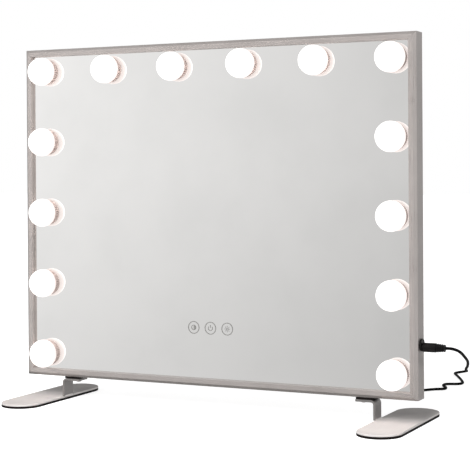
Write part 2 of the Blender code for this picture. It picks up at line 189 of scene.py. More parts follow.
def brushedAluminium(name, along):  # fine lines run along the rail
    material, wire, shader = newFinish(name, aluminium["light"], aluminium["rough"], aluminium["metal"])
    stretch = [1.0, 1.0, 1.0]
    stretch["XYZ".index(along)] = 0.012
    lines = wire.spots(2600, 3.0, tuple(stretch))
    cloud = wire.spots(22, 2.0, (1, 1, 1), 3.1)
    tone = lines * 0.65 + cloud * 0.35
    tone.limits(0.25, 0.75).blend(aluminium["dark"], aluminium["light"]).feed(shader, "Base Color")
    (lines * aluminium["spread"] + cloud * 0.08 + (aluminium["rough"] - 0.10)).feed(shader, "Roughness")
    lines.bumps(0.12, 0.00004).feed(shader, "Normal")
    return material


steel = {"dark": colour(0.50, 0.475, 0.465), "light": colour(0.60, 0.57, 0.555), "rough": 0.40}


def satinSteel(name, along, metal, shade):
    dark = colour(*[channel * shade for channel in steel["dark"][:3]])
    light = colour(*[channel * shade for channel in steel["light"][:3]])
    material, wire, shader = newFinish(name, light, steel["rough"], metal)
    stretch = [1.0, 1.0, 1.0]
    stretch["XYZ".index(along)] = 0.03
    lines = wire.spots(1900, 3.0, tuple(stretch))
    smears = wire.spots(38, 3.0, (1, 1, 1), 7.7)
    (lines * 0.5 + smears * 0.5).limits(0.3, 0.7).blend(dark, light).feed(shader, "Base Color")
    (lines * 0.08 + smears * 0.16 + (steel["rough"] - 0.12)).feed(shader, "Roughness")
    lines.bumps(0.10, 0.00003).feed(shader, "Normal")
    return material


silver = {"base": colour(0.885, 0.876, 0.864), "edge": colour(0.845, 0.838, 0.826), "rough": 0.012}


def silveredGlass():
    material, wire, shader = newFinish("silveredGlass", silver["base"], silver["rough"], 1.0)
    film = wire.spots(9, 4.0, (1, 1, 1), 1.9).limits(0.35, 0.75)
    film.blend(silver["base"], silver["edge"]).feed(shader, "Base Color")
    (film * 0.014 + silver["rough"]).feed(shader, "Roughness")
    return material


opal = {
    "glow": 1.5,
    "base": colour(0.12, 0.115, 0.11),
    "core": colour(1.0, 0.985, 0.975),
    "rim": colour(0.585, 0.53, 0.515),
    "rimFrom": 0.30,  # shares of the globe's depth, from its pole to its back
    "rimTo": 0.85,
}


def opalShell(backY, poleY):  # brightest over the lamp, warmer and dimmer towards the collar
    glow = {"Emission Strength": opal["glow"]}
    material, wire, shader = newFinish("opalShell", opal["base"], 0.32, 0.0, glow)
    place = wire.node("ShaderNodeTexCoord", out="Object")
    depth = wire.node("ShaderNodeSeparateXYZ", {}, {0: place}, out=1)
    rim = depth.limits(poleY + opal["rimFrom"] * (backY - poleY), poleY + opal["rimTo"] * (backY - poleY))
    grain = wire.spots(420, 2.0, (1, 1, 1), 4.4)
    (rim * 0.95 + grain * 0.05).blend(opal["core"], opal["rim"]).feed(shader, "Emission Color")
    (grain * 0.10 + 0.27).feed(shader, "Roughness")
    grain.bumps(0.04, 0.00005).feed(shader, "Normal")
    return material


def brightPlating():
    base = colour(0.52, 0.43, 0.405)
    material, wire, shader = newFinish("brightPlating", base, 0.45, 0.25)
    haze = wire.spots(300, 3.0, (1, 1, 1), 2.2)
    haze.limits(0.3, 0.8).blend(base, colour(0.38, 0.305, 0.285)).feed(shader, "Base Color")
    (haze * 0.16 + 0.38).feed(shader, "Roughness")
    return material


def mouldedBlack(name, base, roughness, grainScale, gloss):
    material, wire, shader = newFinish(name, base, roughness, 0.0, {"Specular IOR Level": gloss})
    grain = wire.spots(grainScale, 4.0, (1, 1, 1), 5.0)
    wear = wire.spots(60, 3.0, (1, 1, 1), 8.0).limits(0.45, 0.8)
    worn = colour(*[channel * 1.8 + 0.002 for channel in base[:3]])
    wear.blend(base, worn).feed(shader, "Base Color")
    (grain * 0.14 + wear * 0.10 + (roughness - 0.10)).feed(shader, "Roughness")
    grain.bumps(0.16, 0.00006).feed(shader, "Normal")
    return material


def rubberPad():
    base = colour(0.0045, 0.0030, 0.0030)
    material, wire, shader = newFinish("rubberPad", base, 0.72, 0.0, {"Specular IOR Level": 0.12})
    grain = wire.spots(1500, 3.0)
    dust = wire.spots(120, 4.0, (1, 1, 1), 6.0).limits(0.5, 0.85)
    dust.blend(base, colour(0.014, 0.012, 0.011)).feed(shader, "Base Color")
    (grain * 0.2 + 0.6).feed(shader, "Roughness")
    grain.bumps(0.3, 0.00008).feed(shader, "Normal")
    return material


def cordVinyl():
    base = colour(0.0012, 0.0012, 0.0012)
    material, wire, shader = newFinish("cordVinyl", base, 0.38, 0.0, {"Specular IOR Level": 0.03})
    drawn = wire.spots(700, 3.0)
    wear = wire.spots(90, 2.0, (1, 1, 1), 3.0).limits(0.5, 0.9)
    wear.blend(base, colour(0.003, 0.003, 0.003)).feed(shader, "Base Color")
    (drawn * 0.16 + 0.30).feed(shader, "Roughness")
    drawn.bumps(0.12, 0.00005).feed(shader, "Normal")
    return material


def panelPlastic():
    base = colour(0.50, 0.49, 0.48)
    material, wire, shader = newFinish("panelPlastic", base, 0.5)
    grain = wire.spots(900, 4.0)
    tone = wire.spots(14, 2.0, (1, 1, 1), 4.0)
    tone.limits(0.3, 0.7).blend(base, colour(0.482, 0.472, 0.462)).feed(shader, "Base Color")
    (grain * 0.2 + 0.40).feed(shader, "Roughness")
    grain.bumps(0.35, 0.00012).feed(shader, "Normal")
    return material


def solderMask():
    base = colour(0.78, 0.78, 0.76)
    material, wire, shader = newFinish("solderMask", base, 0.5)
    weave = wire.spots(600, 2.0, (1, 1, 1), 2.5)
    weave.limits(0.4, 0.7).blend(base, colour(0.66, 0.67, 0.65)).feed(shader, "Base Color")
    (weave * 0.2 + 0.4).feed(shader, "Roughness")
    return material


def zincPlate():
    base = colour(0.55, 0.56, 0.58)
    material, wire, shader = newFinish("zincPlate", base, 0.4, 1.0)
    place = wire.node("ShaderNodeTexCoord", out="Object")
    flakes = wire.node("ShaderNodeTexVoronoi", {}, {"Vector": place, "Scale": 260.0})
    flakes.limits(0.1, 0.7).blend(base, colour(0.42, 0.43, 0.45)).feed(shader, "Base Color")
    (flakes * 0.25 + 0.3).feed(shader, "Roughness")
    return material


def etchedMark():
    base = colour(0.090, 0.088, 0.085)
    material, wire, shader = newFinish("etchedMark", base, 0.6, 0.0, {"Specular IOR Level": 0.2})
    frost = wire.spots(1800, 3.0)
    frost.limits(0.3, 0.7).blend(base, colour(0.13, 0.128, 0.124)).feed(shader, "Base Color")
    (frost * 0.2 + 0.5).feed(shader, "Roughness")
    return material


def nickelBlade():
    base = colour(0.62, 0.60, 0.56)
    material, wire, shader = newFinish("nickelBlade", base, 0.25, 1.0)
    rubs = wire.spots(500, 3.0, (1, 0.1, 1))
    rubs.limits(0.3, 0.8).blend(base, colour(0.48, 0.46, 0.42)).feed(shader, "Base Color")
    (rubs * 0.2 + 0.15).feed(shader, "Roughness")
    return material


globeLow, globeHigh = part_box("bulb_globe_01")
railAcross = brushedAluminium("railAcross", "X")
railUpright = brushedAluminium("railUpright", "Z")
footSteel = satinSteel("footSteel", "Y", 0.30, 0.76)
bracketSteel = satinSteel("bracketSteel", "Y", 0.95, 0.50)
mirrorSilver = silveredGlass()
globeOpal = opalShell(globeHigh.y, globeLow.y)
collarPlating = brightPlating()
plugBlack = mouldedBlack("plugBlack", colour(0.0018, 0.0015, 0.0015), 0.27, 700, 0.20)
adapterBlack = mouldedBlack("adapterBlack", colour(0.010, 0.010, 0.010), 0.46, 1100, 0.30)
padRubber = rubberPad()
vinyl = cordVinyl()
backPlastic = panelPlastic()
boardWhite = solderMask()
keyZinc = zincPlate()
markFrost = etchedMark()
bladeNickel = nickelBlade()
print("finishes mixed")

# making pieces


def keep(bm, name, material, body, stands=(), sharp=35):
    bmesh.ops.remove_doubles(bm, verts=bm.verts, dist=1e-6)
    bmesh.ops.recalc_face_normals(bm, faces=bm.faces)
    mesh = bpy.data.meshes.new(name)
    bm.to_mesh(mesh)
    bm.free()
    mesh.shade_smooth()
    mesh.set_sharp_from_angle(angle=math.radians(sharp))
    mesh.materials.append(material)
    piece = bpy.data.objects.new(name, mesh)
    bpy.context.scene.collection.objects.link(piece)
    even = piece.modifiers.new("evenNormals", "WEIGHTED_NORMAL")
    even.keep_sharp = True
    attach(piece, body)
    if stands:
        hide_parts(*stands)
    return piece


def arc(centre, radius, start, end, steps):  # angles in degrees, both ends included
    angles = [math.radians(start + (end - start) * step / steps) for step in range(steps + 1)]
    return [(centre[0] + radius * math.cos(angle), centre[1] + radius * math.sin(angle)) for angle in angles]


facings = {
    "front": Matrix.Rotation(math.pi / 2, 3, "X"),
    "back": Matrix.Rotation(-math.pi / 2, 3, "X"),
    "right": Matrix.Rotation(math.pi / 2, 3, "Y"),
    "up": Matrix.Identity(3),
    "down": Matrix.Rotation(math.pi, 3, "X"),
}


def settle(bm, facing, place):  # turns a shape made about Z, then carries it to its place
    bmesh.ops.rotate(bm, verts=bm.verts, cent=(0, 0, 0), matrix=facings[facing])
    bmesh.ops.translate(bm, verts=bm.verts, vec=place)


def spun(profile, sides, closed=False):  # (radius, height) points turned about Z
    bm = bmesh.new()
    points = [bm.verts.new((radius, 0, height)) for radius, height in profile]
    pairs = list(zip(points, points[1:]))
    if closed:
        pairs.append((points[-1], points[0]))
    edges = [bm.edges.new(pair) for pair in pairs]
    bmesh.ops.spin(bm, geom=points + edges, cent=(0, 0, 0), axis=(0, 0, 1),
                   angle=math.tau, steps=sides, use_merge=True)
    bmesh.ops.remove_doubles(bm, verts=bm.verts, dist=1e-6)
    return bm


def slab(outline, depth):  # an outline in XY pulled up to Z = depth
    bm = bmesh.new()
    face = bm.faces.new([bm.verts.new((x, y, 0)) for x, y in outline])
    top = bmesh.ops.extrude_face_region(bm, geom=[face])["geom"]
    rim = [item for item in top if isinstance(item, bmesh.types.BMVert)]
    bmesh.ops.translate(bm, verts=rim, vec=(0, 0, depth))
    return bm


def brick(low, high):
    low, high = Vector(low), Vector(high)
    bm = bmesh.new()
    bmesh.ops.create_cube(bm, size=1.0)
    bmesh.ops.scale(bm, vec=high - low, verts=bm.verts)
    bmesh.ops.translate(bm, vec=(low + high) / 2, verts=bm.verts)
    return bm


def soften(bm, width, steps, wanted=None, angle=25):  # rounds the sharp edges, or the wanted ones
    edges = [edge for edge in bm.edges
             if len(edge.link_faces) == 2 and math.degrees(edge.calc_face_angle(0)) > angle]
    if wanted:
        edges = [edge for edge in edges if wanted(edge)]
    bmesh.ops.bevel(bm, geom=edges, offset=width, offset_type="OFFSET", affect="EDGES",
                    segments=steps, profile=0.5, material=-1, clamp_overlap=True)


def gather(target, part):  # adds one bmesh to another
    mesh = bpy.data.meshes.new("partOfPiece")
    part.to_mesh(mesh)
    part.free()
    target.from_mesh(mesh)
    bpy.data.meshes.remove(mesh)


# lead: its free route is the same as the solid's, then the coil, then the tail to the adapter

lead = {
    "diameter": 0.0038,
    "coilRadii": (0.0238, 0.0200, 0.0162),
    "coilStep": 0.0038,
    "pointsPerTurn": 72,
    "spacing": 0.0016,
    "insideAdapter": 0.0295,
}

leadRoute = [
    (0.3219, -0.0015, 0.1000),
    (0.3280, -0.0014, 0.1000),
    (0.3339, 0.0023, 0.0982),
    (0.3369, 0.0114, 0.0941),
    (0.3368, 0.0246, 0.0887),
    (0.3300, 0.0654, 0.0759),
    (0.3209, 0.0975, 0.0677),
    (0.3012, 0.1617, 0.0544),
    (0.2733, 0.2504, 0.0381),
    (0.2478, 0.3400, 0.0220),
    (0.2326, 0.3940, 0.0136),
    (0.2236, 0.4240, 0.0096),
    (0.2192, 0.4390, 0.0069),
    (0.2138, 0.4492, 0.0044),
    (0.2058, 0.4502, 0.0027),
    (0.2003, 0.4416, 0.0021),
    (0.2045, 0.4280, 0.0021),
    (0.2112, 0.4145, 0.0021),
    (0.2195, 0.3970, 0.0021),
    (0.2280, 0.3785, 0.0021),
    (0.2354, 0.3605, 0.0021),
    (0.2392, 0.3475, 0.0021),
    (0.2362, 0.3374, 0.0021),
    (0.2276, 0.3332, 0.0021),
    (0.2206, 0.3288, 0.0021),
    (0.2187, 0.3195, 0.0021),
    (0.2234, 0.3073, 0.0021),
    (0.2303, 0.2945, 0.0021),
    (0.2299, 0.2848, 0.0021),
    (0.2217, 0.2784, 0.0021),
    (0.2095, 0.2645, 0.0021),
    (0.2003, 0.2545, 0.0023),
    (0.1828, 0.2497, 0.0030),
    (0.1703, 0.2494, 0.0032),
]

tailRoute = [
    (0.1413, 0.2494, 0.0070),
    (0.1298, 0.2492, 0.0079),
    (0.1038, 0.2453, 0.0130),
    (0.0948, 0.2438, 0.0140),
    (0.0894, 0.2436, 0.0140),
]


def smoothRoute(points, spacing):  # evenly spaced points on a natural cubic spline
    points = np.array(points)
    spans = np.linalg.norm(np.diff(points, axis=0), axis=1)
    slopes = np.diff(points, axis=0) / spans[:, None]
    system = np.eye(len(points))
    bends = np.zeros_like(points)
    for k in range(1, len(points) - 1):
        system[k, k - 1:k + 2] = (spans[k - 1], 2 * (spans[k - 1] + spans[k]), spans[k])
        bends[k] = 6 * (slopes[k] - slopes[k - 1])
    bends = np.linalg.solve(system, bends)
    dense = [points[0]]
    for k, span in enumerate(spans):
        for share in np.linspace(0, 1, 25)[1:]:
            lift = (share ** 3 - share) * bends[k + 1] + ((1 - share) ** 3 - 1 + share) * bends[k]
            dense.append(points[k] + share * span * slopes[k] + lift * span ** 2 / 6)
    dense = np.array(dense)
    lengths = np.concatenate(([0], np.cumsum(np.linalg.norm(np.diff(dense, axis=0), axis=1))))
    marks = np.linspace(0, lengths[-1], max(2, round(lengths[-1] / spacing)) + 1)
    return [Vector([np.interp(mark, lengths, dense[:, axis]) for axis in range(3)]) for mark in marks]


def ease(value):  # smooth step from 0 to 1
    value = min(max(value, 0.0), 1.0)
    return value * value * (3 - 2 * value)


def coilTurns(middle, floor):  # three turns inwards, up in the third, then two turns outwards on top
    outer, between, inner = lead["coilRadii"]
    points = []
    total = 5
    for step in range(total * lead["pointsPerTurn"] + 1):
        turn = step / lead["pointsPerTurn"]
        radius = outer
        radius += (between - outer) * ease((turn - 0.75) / 0.25)
        radius += (inner - between) * ease((turn - 1.75) / 0.25)
        radius += (between - inner) * ease((turn - 3.0) / 0.25)
        radius += (outer - between) * ease((turn - 4.0) / 0.25)
        height = floor + lead["coilStep"] * ease((turn - 2.25) / 0.35)
        angle = math.pi / 2 + turn * math.tau
        across, along = radius * math.cos(angle), radius * math.sin(angle)
        points.append(Vector((middle.x + across, middle.y + along, height)))
    return points


def lineLength(points):
    return sum((end - start).length for start, end in zip(points, points[1:]))


def makeCord():
    coilLow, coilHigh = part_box("cord_coil")
    middle = (coilLow + coilHigh) / 2
    floor = coilLow.z + 0.0001 + lead["diameter"] / 2
    turns = coilTurns(middle, floor)
    points = smoothRoute(leadRoute, lead["spacing"])
    points += turns
    points += smoothRoute(tailRoute, lead["spacing"])
    points.append(points[-1] - Vector((lead["insideAdapter"], 0, 0)))
    data = bpy.data.curves.new("powerLead", "CURVE")
    data.dimensions = "3D"
    data.bevel_depth = lead["diameter"] / 2
    data.bevel_resolution = 5
    data.use_fill_caps = True
    spline = data.splines.new("POLY")
    spline.points.add(len(points) - 1)
    for slot, point in zip(spline.points, points):
        slot.co = (*point, 1.0)
    data.materials.append(vinyl)
    cord = bpy.data.objects.new("powerLead", data)
    bpy.context.scene.collection.objects.link(cord)
    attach(cord, "power_lead")
    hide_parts("power_cord", "cord_coil", "adapter_lead")
    print("lead length", round(lineLength(points), 4), "m, of which in the coil", round(lineLength(turns), 4))
    return cord, lineLength(points)


cord, cordLength = makeCord()

plug = {
    "length": 0.0285,
    "bodyRadius": 0.0058,
    "smooth": 0.0171,
    "endRadius": 0.0047,
    "ribs": 4,
    "groove": 0.0014,
    "slot": 0.0013,
    "edge": 0.0006,
    "round": 0.0003,
    "barrel": 0.0095,
}


def makePlug():
    low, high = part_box("dc_plug")
    length, radius, edge = plug["length"], plug["bodyRadius"], plug["edge"]
    face = Vector((high.x - length, (low.y + high.y) / 2, (low.z + high.z) / 2))
    pitch = (length - plug["smooth"]) / plug["ribs"]
    profile = [(0, 0), (radius - edge, 0)]
    profile += arc((radius - edge, edge), edge, -60, 0, 3)
    profile += [(radius, plug["smooth"] * 0.5), (radius, plug["smooth"] - plug["round"])]
    profile += [(radius - plug["round"], plug["smooth"])]
    for number in range(plug["ribs"]):
        start = plug["smooth"] + pitch * number
        share = (number + 1) / plug["ribs"]
        rib = radius + (plug["endRadius"] - radius) * share
        rise = start + plug["slot"]
        profile += [(rib - plug["groove"], start + 0.0001), (rib - plug["groove"], rise - 0.0001)]
        profile += [(rib - plug["round"], rise), (rib, rise + plug["round"])]
        profile += [(rib, start + pitch - plug["round"]), (rib - plug["round"], start + pitch)]
    profile.append((0, length))
    body = spun(profile, 48)
    settle(body, "right", face)
    keep(body, "plugBody", plugBlack, "power_lead", ["dc_plug"], 30)
    barrel = plug["barrel"]
    tip = spun([(0.0012, -barrel), (0.0023, -barrel), (0.0027, -barrel + 0.0004), (0.0027, 0.0001),
                (0.0012, 0.0001)], 40, closed=True)
    settle(tip, "right", face)
    keep(tip, "plugBarrel", bladeNickel, "power_lead")


makePlug()

tie = {"strap": 0.0008, "width": 0.008, "corner": 0.0018}


def makeTie():  # a flat strap round the turns
    low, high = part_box("coil_tie")
    middle = (low + high) / 2
    half = Vector((tie["width"] / 2, (high.y - low.y) / 2, (high.z - low.z) / 2))
    loop = bmesh.new()
    corners = []
    corner = tie["corner"]
    reach = (half.y - corner, half.z - corner)
    for start, (across, up) in zip((0, 90, 180, 270), ((1, 1), (-1, 1), (-1, -1), (1, -1))):
        corners += arc((across * reach[0], up * reach[1]), corner - 0.00005, start, start + 90, 5)
    rim = [loop.verts.new((-half.x, y, z)) for y, z in corners]
    edges = [loop.edges.new(pair) for pair in zip(rim, rim[1:] + rim[:1])]
    pulled = bmesh.ops.extrude_edge_only(loop, edges=edges)["geom"]
    far = [item for item in pulled if isinstance(item, bmesh.types.BMVert)]
    bmesh.ops.translate(loop, verts=far, vec=(tie["width"], 0, 0))
    bmesh.ops.recalc_face_normals(loop, faces=loop.faces)
    bmesh.ops.solidify(loop, geom=loop.faces, thickness=tie["strap"])
    bmesh.ops.translate(loop, verts=loop.verts, vec=middle)
    keep(loop, "coilTie", padRubber, "power_lead", ["coil_tie"], 30)


makeTie()

adapter = {
    "size": (0.074, 0.044, 0.028),
    "edge": 0.0032,
    "seam": 0.00035,
    "panelIn": 0.006,
    "bladeHalf": (0.0031, 0.0006, 0.00075),
    "bladeLong": 0.0165,
    "bladePitch": 0.0127,
    "bladeAt": 0.012,
    "ribs": 5,
}


def makeAdapter():
    low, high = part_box("wall_adapter")
    size = Vector(adapter["size"])
    middle = Vector((low.x + size.x / 2, low.y + size.y / 2, (low.z + high.z) / 2))
    half = size / 2
    body = brick(middle - half, middle + half)
    soften(body, adapter["edge"], 4)
    cutPlane = bmesh.ops.bisect_plane(body, geom=body.verts[:] + body.edges[:] + body.faces[:], dist=1e-7,
                                      plane_co=middle, plane_no=(0, 0, 1))["geom_cut"]
    seam = [item for item in cutPlane if isinstance(item, bmesh.types.BMEdge)]
    grooved = bmesh.ops.bevel(body, geom=seam, offset=adapter["seam"], offset_type="OFFSET", affect="EDGES",
                              segments=2, profile=0.5, material=-1)
    middleRow = [vert for vert in grooved["verts"] if abs(vert.co.z - middle.z) < 1e-5]
    for vert in middleRow:
        inward = Vector((middle.x - vert.co.x, middle.y - vert.co.y, 0))
        vert.co += inward.normalized() * adapter["seam"]
    top = max(body.faces, key=lambda face: face.calc_center_median().z * 10 + face.calc_area())
    bmesh.ops.inset_region(body, faces=[top], thickness=adapter["panelIn"], use_even_offset=True)
    bmesh.ops.inset_region(body, faces=[top], thickness=0.0005, depth=-0.0004, use_even_offset=True)
    keep(body, "adapterBody", adapterBlack, "power_lead", ["wall_adapter"], 28)
    for side in (-1, 1):
        wide, root, thick = adapter["bladeHalf"]
        blade = brick((-wide, -root, -thick), (wide, adapter["bladeLong"], thick))
        tip = [edge for edge in blade.edges if all(vert.co.y > 0.016 for vert in edge.verts)]
        bmesh.ops.bevel(blade, geom=tip, offset=0.0005, affect="EDGES", segments=2, profile=0.5, material=-1)
        lift = side * adapter["bladePitch"] / 2
        spot = Vector((middle.x - adapter["bladeAt"], middle.y + half.y, middle.z + lift))
        bmesh.ops.translate(blade, verts=blade.verts, vec=spot)
        name = "adapterBlade" + ("Low" if side < 0 else "High")
        keep(blade, name, bladeNickel, "power_lead")
    length = high.x - (middle.x + half.x)
    step = length / (2 * adapter["ribs"])
    profile = [(0, -0.0008), (0.0047, -0.0008), (0.0047, 0.0006)]
    for number in range(adapter["ribs"]):
        start = 0.0006 + 2 * step * number
        radius = 0.0043 - 0.0015 * number / adapter["ribs"]
        profile += [(radius, start), (radius, start + step), (radius - 0.0006, start + step + 0.0002)]
        profile += [(radius - 0.0006, start + 2 * step - 0.0002)]
    profile[-1] = (0.0024, length)
    profile.append((0, length))
    relief = spun(profile, 32)
    settle(relief, "right", (middle.x + half.x, middle.y, middle.z))
    keep(relief, "adapterRelief", adapterBlack, "power_lead", (), 30)


makeAdapter()
print("lead, plug and adapter made")

# frame rails

rails = {
    "chamfer": 0.004,
    "face": 0.010,
    "lip": 0.0056,
    "wall": 0.002,
    "ledgeIn": 0.006,
    "ledgeFront": 0.021,
    "ledgeBack": 0.0225,
    "mitreGap": 0.00012,
    "edge": 0.00045,
}


def makeRail(name, node, halfLength, halfAcross, turn, material):
    depth = frameHigh.y - frameLow.y
    section = [
        (rails["chamfer"], 0), (rails["face"], 0),
        (rails["face"], rails["lip"]), (rails["wall"], rails["lip"]),
        (rails["wall"], rails["ledgeFront"]), (rails["ledgeIn"], rails["ledgeFront"]),
        (rails["ledgeIn"], rails["ledgeBack"]), (rails["wall"], rails["ledgeBack"]), (rails["wall"], depth),
        (0, depth), (0, rails["chamfer"]),
    ]
    bm = bmesh.new()
    face = bm.faces.new([bm.verts.new((-halfLength, back, inward)) for inward, back in section])
    far = bmesh.ops.extrude_face_region(bm, geom=[face])["geom"]
    farVerts = [item for item in far if isinstance(item, bmesh.types.BMVert)]
    bmesh.ops.translate(bm, verts=farVerts, vec=(2 * halfLength, 0, 0))
    bmesh.ops.recalc_face_normals(bm, faces=bm.faces)
    soften(bm, rails["edge"], 3, lambda edge: abs(edge.verts[0].co.x - edge.verts[1].co.x) > halfLength)
    for vert in bm.verts:  # the mitre: both ends lean in as the section goes in
        reach = halfLength - vert.co.z - rails["mitreGap"]
        vert.co.x = math.copysign(reach, vert.co.x)
    bmesh.ops.translate(bm, verts=bm.verts, vec=(0, 0, -halfAcross))
    bmesh.ops.rotate(bm, verts=bm.verts, cent=(0, 0, 0), matrix=Matrix.Rotation(turn, 3, "Y"))
    bmesh.ops.translate(bm, verts=bm.verts, vec=(frameMiddle.x, frontY, frameMiddle.z))
    keep(bm, name, material, "mirror", [node], 20)


halfWide = (frameHigh.x - frameLow.x) / 2
halfTall = (frameHigh.z - frameLow.z) / 2
makeRail("railBottom", "bottom_rail", halfWide, halfTall, 0, railAcross)
makeRail("railLeft", "left_rail", halfTall, halfWide, math.pi / 2, railUpright)
makeRail("railTop", "top_rail", halfWide, halfTall, math.pi, railAcross)
makeRail("railRight", "right_rail", halfTall, halfWide, -math.pi / 2, railUpright)
print("rails made")

# mirror sheet and touch marks

sheet = {"apparent": 0.0057, "lift": 0.0002}


def makeMirror():  # the silver shows where it looks to be through the glass
    low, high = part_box("mirror_glass")
    front = frontY + sheet["apparent"]
    bm = brick((low.x, front, low.z), (high.x, high.y, high.z))
    soften(bm, 0.0004, 2)
    keep(bm, "mirrorSilver", mirrorSilver, "mirror", ["mirror_glass"], 5)
    return front


mirrorFront = makeMirror()

marks = {
    "spread": 0.025,
    "height": 0.0776,
    "radius": 0.0085,
    "stroke": 0.0011,
    "icon": 0.0036,
    "thin": 0.0009,
    "thick": 0.00004,
}


def flatRing(radius, stroke, sides=64, gap=0.0):  # gap is the open share of the ring, at its top
    start = 90 + 180 * gap
    end = 450 - 180 * gap
    outer = arc((0, 0), radius, start, end, sides)
    inner = arc((0, 0), radius - stroke, end, start, sides)
    if gap:
        return slab(outer + inner, marks["thick"])
    inside, thick = radius - stroke, marks["thick"]
    return spun([(inside, 0), (radius, 0), (radius, thick), (inside, thick)], sides, closed=True)


def flatBar(x0, z0, x1, z1):
    return slab([(x0, z0), (x1, z0), (x1, z1), (x0, z1)], marks["thick"])


def makeMarks():
    height = frameLow.z + marks["height"]
    size, thin = marks["icon"], marks["thin"]
    for number, offset in enumerate((-marks["spread"], 0.0, marks["spread"])):
        bm = flatRing(marks["radius"], marks["stroke"])
        if number == 0:  # light colour: a ring with one half filled
            gather(bm, flatRing(size, thin, 40))
            gather(bm, slab(arc((0, 0), size - thin, -90, 90, 20), marks["thick"]))
        if number == 1:  # power: an open ring and a bar
            gather(bm, flatRing(size, thin, 40, 0.28))
            gather(bm, flatBar(-thin / 2, 0.0004, thin / 2, size + 0.0006))
        if number == 2:  # brightness: a small ring with rays
            gather(bm, flatRing(size * 0.55, thin, 32))
            for ray in range(8):
                bar = flatBar(size * 0.78, -thin * 0.4, size * 1.15, thin * 0.4)
                turn = Matrix.Rotation(ray * math.pi / 4, 3, "Z")
                bmesh.ops.rotate(bar, verts=bar.verts, cent=(0, 0, 0), matrix=turn)
                gather(bm, bar)
        settle(bm, "front", (offset, mirrorFront - sheet["lift"], height))
        keep(bm, ("markColour", "markPower", "markLight")[number], markFrost, "mirror")


makeMarks()
print("mirror and touch marks made")

# lamps

lamps = {
    "sides": 72,
    "ribs": 40,
    "ribDeep": 0.0007,
    "backRound": 0.0012,
    "collarBehind": 0.0048,  # from the globe's middle to the collar's front
}


def makeGlobe(number):
    node = f"bulb_globe_{number:02d}"
    low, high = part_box(node)
    radius = (high.x - low.x) / 2
    centre = Vector(((low.x + high.x) / 2, low.y + radius, (low.z + high.z) / 2))
    cutDeep = high.y - centre.y
    rim = math.degrees(math.asin(-cutDeep / radius))
    profile = arc((0, 0), radius, 90, rim + 4, 26)
    profile[0] = (0, radius)
    flat = profile[-1][0] - lamps["backRound"]
    profile += arc((flat - 0.0004, -cutDeep + lamps["backRound"]), lamps["backRound"], -25, -90, 4)
    profile += [(0, -cutDeep)]
    bm = spun(profile, lamps["sides"])
    settle(bm, "front", centre)
    globe = keep(bm, f"globe{number:02d}", globeOpal, "mirror", [node], 40)
    globe.visible_shadow = False  # its lamp shines through it
    return centre


def makeCollar(number, centre):
    node = f"bulb_collar_{number:02d}"
    low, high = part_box(node)
    outer = (high.x - low.x) / 2
    top = centre.y + lamps["collarBehind"]
    tall = mirrorFront - top - 0.00005
    bm = bmesh.new()
    sides = lamps["ribs"] * 4
    bmesh.ops.create_cone(bm, cap_ends=True, segments=sides, radius1=outer, radius2=outer, depth=tall)
    turn = Matrix.Rotation(math.pi / sides, 3, "Z")
    bmesh.ops.rotate(bm, verts=bm.verts, cent=(0, 0, 0), matrix=turn)
    for vert in bm.verts:
        angle = math.atan2(vert.co.y, vert.co.x)
        if math.cos(angle * lamps["ribs"]) < 0:
            vert.co.x *= 1 - lamps["ribDeep"] / outer
            vert.co.y *= 1 - lamps["ribDeep"] / outer
    caps = [face for face in bm.faces if len(face.verts) > 4]
    for cap in caps:
        side = math.copysign(1, cap.calc_center_median().z)
        bmesh.ops.inset_region(bm, faces=[cap], thickness=0.0010)
        bmesh.ops.translate(bm, verts=cap.verts, vec=(0, 0, side * 0.0004))
    bmesh.ops.translate(bm, verts=bm.verts, vec=(0, 0, -tall / 2))
    settle(bm, "front", (centre.x, top, centre.z))
    keep(bm, f"collar{number:02d}", collarPlating, "mirror", [node], 30)


lampNodes = [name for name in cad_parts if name.startswith("bulb_globe_")]
for lamp in range(1, len(lampNodes) + 1):
    makeCollar(lamp, makeGlobe(lamp))
print("lamps made:", len(lampNodes))

# inlet

inlet = {"rim": 0.0007, "dish": 0.0005}


def makeBezel():
    low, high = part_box("jack_bezel")
    radius = (high.z - low.z) / 2
    tall = high.x - low.x
    rim, dish = inlet["rim"], inlet["dish"]
    profile = [(0, 0), (radius, 0), (radius, tall - rim)]
    profile += arc((radius - rim, tall - rim), rim, 20, 90, 4)
    profile += [(radius - 2.2 * rim, tall), (radius - 2.6 * rim, tall - dish), (0, tall - dish)]
    bm = spun(profile, 56)
    settle(bm, "right", (low.x, (low.y + high.y) / 2, (low.z + high.z) / 2))
    keep(bm, "inletBezel", plugBlack, "mirror", ["jack_bezel"], 30)


makeBezel()

# feet

feet = {
    "plateEdge": 0.0007,
    "padEdge": 0.0005,
    "stripEdge": 0.0005,
    "bend": 0.003,
    "strip": 0.003,
    "weld": 0.0016,
    "bury": 0.0002,  # how far a weld runs into the steel
    "screwRise": 0.0022,
    "screwRim": 0.0005,
    "socket": 0.00125,
    "socketDeep": 0.0011,
}


def stadium(low, high, steps=28):
    radius = (high.x - low.x) / 2
    x = (low.x + high.x) / 2
    far = arc((x, high.y - radius), radius, 0, 180, steps)
    return far + arc((x, low.y + radius), radius, 180, 360, steps)


